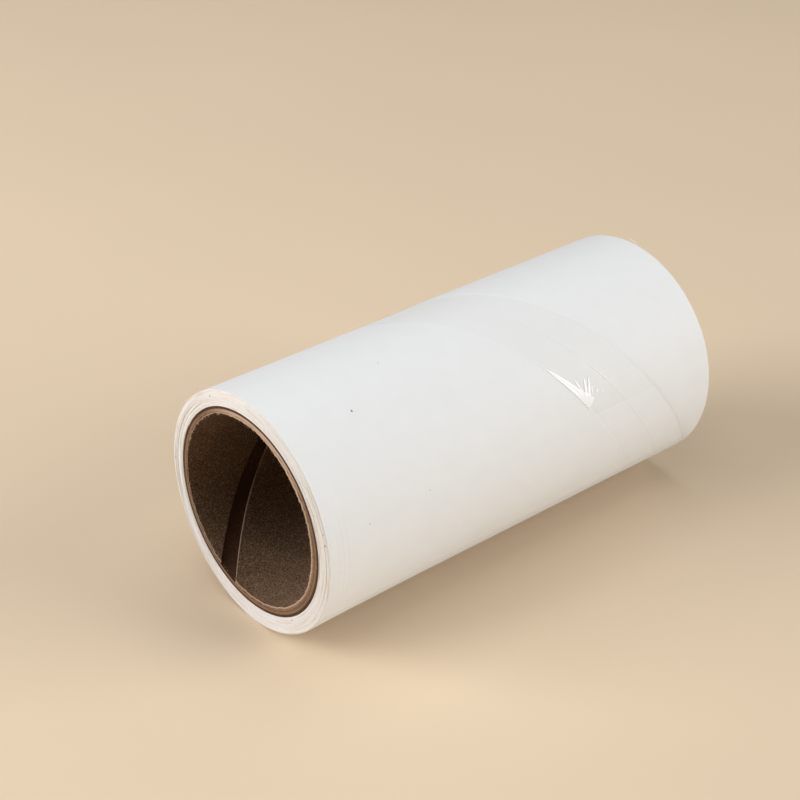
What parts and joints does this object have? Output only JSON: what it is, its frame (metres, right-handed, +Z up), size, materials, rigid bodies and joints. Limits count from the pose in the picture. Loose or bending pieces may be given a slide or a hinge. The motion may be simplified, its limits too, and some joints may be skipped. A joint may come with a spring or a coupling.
{
  "type": "lint roller refill",
  "caption": "Roll of sticky paper sheets wound on a hollow cardboard core, with slanted tear slits and a clear closure tape.",
  "frame": {"origin": "middle of the roll, on the axis of its core", "axes": "+X along the core's axis towards the end where the first sheet's corner is; +Z up as the roll lies on its side; -Y towards the loose end of the closure tape"},
  "size_m": [0.1, 0.0483, 0.048],
  "materials": {
    "inner_ply_cardboard": "rough grey-brown chipboard",
    "middle_ply_cardboard": "rough cut edge",
    "outer_ply_cardboard": "matte kraft",
    "adhesive_paper": "satin, sticky side out",
    "clear_tape": "clear, glossy"
  },
  "bodies": {
    "roll": {"core_inner_ply": "inner_ply_cardboard", "core_middle_ply": "middle_ply_cardboard", "core_outer_ply": "outer_ply_cardboard", "sheet_01": "adhesive_paper", "sheet_02": "adhesive_paper", "sheet_03": "adhesive_paper", "sheet_04": "adhesive_paper", "sheet_05": "adhesive_paper", "sheet_06": "adhesive_paper", "sheet_07": "adhesive_paper", "sheet_08": "adhesive_paper", "sheet_09": "adhesive_paper", "sheet_10": "adhesive_paper", "sheet_11": "adhesive_paper", "sheet_12": "adhesive_paper", "sheet_13": "adhesive_paper", "sheet_14": "adhesive_paper", "sheet_15": "adhesive_paper", "sheet_16": "adhesive_paper", "sheet_17": "adhesive_paper", "sheet_18": "adhesive_paper", "sheet_19": "adhesive_paper", "sheet_20": "adhesive_paper", "sheet_21": "adhesive_paper", "sheet_22": "adhesive_paper", "sheet_23": "adhesive_paper", "sheet_24": "adhesive_paper", "sheet_25": "adhesive_paper", "sheet_26": "adhesive_paper", "sheet_27": "adhesive_paper", "sheet_28": "adhesive_paper", "sheet_29": "adhesive_paper", "sheet_30": "adhesive_paper", "closure_tape": "clear_tape"},
    "first_sheet_corner": {"sheet_01_corner": "adhesive_paper"},
    "tape_end": {"closure_tape_end": "clear_tape"}
  },
  "joints": [
    {"name": "first_sheet_peel", "type": "hinge", "parent": "roll", "child": "first_sheet_corner", "pos_m": [0, -0.02414, 0], "axis": [-1, 0, 0], "range_deg": [0, 110]},
    {"name": "tape_end_peel", "type": "hinge", "parent": "roll", "child": "tape_end", "pos_m": [0, -0.01952, 0.01418], "axis": [-1, 0, 0], "range_deg": [0, 120]}
  ]
}
